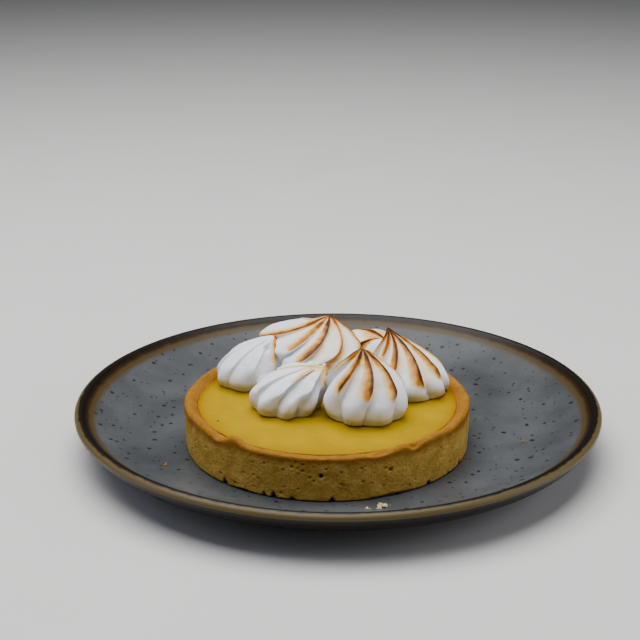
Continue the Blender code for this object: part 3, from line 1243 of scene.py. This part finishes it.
def plate_height(x, y):
    """Height of the plate's upper side there, in mm."""
    return WELL_Z + 3.1 * max(0.0, (math.hypot(x, y) - 75.0) / 15.0) ** 1.8


def scatter(heaps, seed, height_at):
    """Rough lumps, heaped at their places, as one mesh."""
    draw = random.Random(seed)
    bm = bmesh.new()
    for (x, y), spread, count, size in heaps:
        for _ in range(count):
            at = (x + draw.gauss(0, spread), y + draw.gauss(0, spread))
            radius = size * draw.uniform(0.55, 1.25)
            made = bmesh.ops.create_icosphere(bm, subdivisions=3, radius=radius)["verts"]
            for vert in made:
                rough = grain(vert.co + Vector((*at, 0.0)), 0.9 * radius)
                vert.co *= 1 + 0.55 * rough
                vert.co.z *= 0.75
            rest = Vector((*at, height_at(*at) + 0.5 * radius))
            bmesh.ops.translate(bm, verts=made, vec=rest)
    return bm


def make_char():
    """Charred flecks that fell on the curd: matte, nearly black."""
    made, tree, shader, place = new_material("charred_fleck")
    soot = add_node(tree, "TexNoise", {"Vector": place, "Scale": 1 / (0.3 * MM)})
    dark = add_node(
        tree,
        "ValToRGB",
        {"Fac": soot.outputs["Fac"]},
        stops=((0.3, colour("#241407")), (0.7, colour("#4a2c10"))),
    )
    tree.links.new(dark.outputs["Color"], shader.inputs["Base Color"])
    shader.inputs["Roughness"].default_value = 0.8
    return made


finish_piece(
    "pale_crumbs", scatter(PALE_CRUMBS, 5, plate_height), crumb_pastry
)
toasted_crumb = make_pastry("toasted_crumb", TOASTED_TONES, with_marks=False)
finish_piece(
    "brown_crumbs", scatter(BROWN_CRUMBS, 8, plate_height), toasted_crumb
)
finish_piece(
    "curd_flecks", scatter(CURD_SPECKS, 3, lambda x, y: CURD_Z - 0.3), make_char()
)

# %% [markdown]
# ## The table, the light and the camera
#
# The dessert stands on a plain pale table under one large soft light, a little behind it and to
# the left, with a weak fill from either side. The camera looks down by 19 degrees from about
# 60 centimetres away, through a short telephoto lens.

# %% Table, light and camera
TABLE_PALE = colour("#d9d7d3")


def make_table():
    """A plain pale table that the plate stands on."""
    made, tree, shader, place = new_material("matte_pale_table")
    cloud = add_node(tree, "TexNoise", {"Vector": place, "Scale": 1 / (60 * MM), "Detail": 2.0})
    shade = add_node(
        tree,
        "ValToRGB",
        {"Fac": cloud.outputs["Fac"]},
        stops=((0.0, colour("#d3d1cd")), (1.0, TABLE_PALE)),
    )
    tree.links.new(shade.outputs["Color"], shader.inputs["Base Color"])
    shader.inputs["Roughness"].default_value = 0.7
    bm = bmesh.new()
    bmesh.ops.create_grid(bm, x_segments=2, y_segments=2, size=3.0)
    mesh = bpy.data.meshes.new("table")
    bm.to_mesh(mesh)
    bm.free()
    mesh.materials.append(made)
    table = bpy.data.objects.new("table", mesh)
    bpy.context.scene.collection.objects.link(table)


def add_softbox(name, place, target, size, power, tint="#ffffff"):
    """A square area light that points at the target."""
    light = bpy.data.lights.new(name, "AREA")
    light.shape = "SQUARE"
    light.size = size
    light.energy = power
    light.color = colour(tint)[:3]
    lamp = bpy.data.objects.new(name, light)
    lamp.location = place
    lamp.rotation_euler = (Vector(target) - Vector(place)).to_track_quat("-Z", "Y").to_euler()
    bpy.context.scene.collection.objects.link(lamp)


make_table()
TART_TOP = (0.0, -0.015, 0.03)
add_softbox("overhead", (-0.12, 0.08, 0.95), TART_TOP, 1.0, 19.0)
add_softbox("right_fill", (0.92, -0.14, 0.40), TART_TOP, 0.8, 4.6, "#f4f6ff")
add_softbox("left_fill", (-0.90, -0.15, 0.50), TART_TOP, 0.8, 2.4, "#dfe8ff")

world = bpy.data.worlds.new("studio")
world.use_nodes = True
backdrop = world.node_tree.nodes["Background"]
backdrop.inputs["Color"].default_value = colour("#cbd9f0")
backdrop.inputs["Strength"].default_value = 0.06
bpy.context.scene.world = world

camera_data = bpy.data.cameras.new("camera")
camera_data.lens = 80.775
camera_data.sensor_width = 36.0
camera = bpy.data.objects.new("camera", camera_data)
camera.location = (0.0, -0.55433, 0.24761)
camera.rotation_euler = (math.radians(90 - 19.30), 0.0, math.radians(0.76))
bpy.context.scene.collection.objects.link(camera)
bpy.context.scene.camera = camera

# %% [markdown]
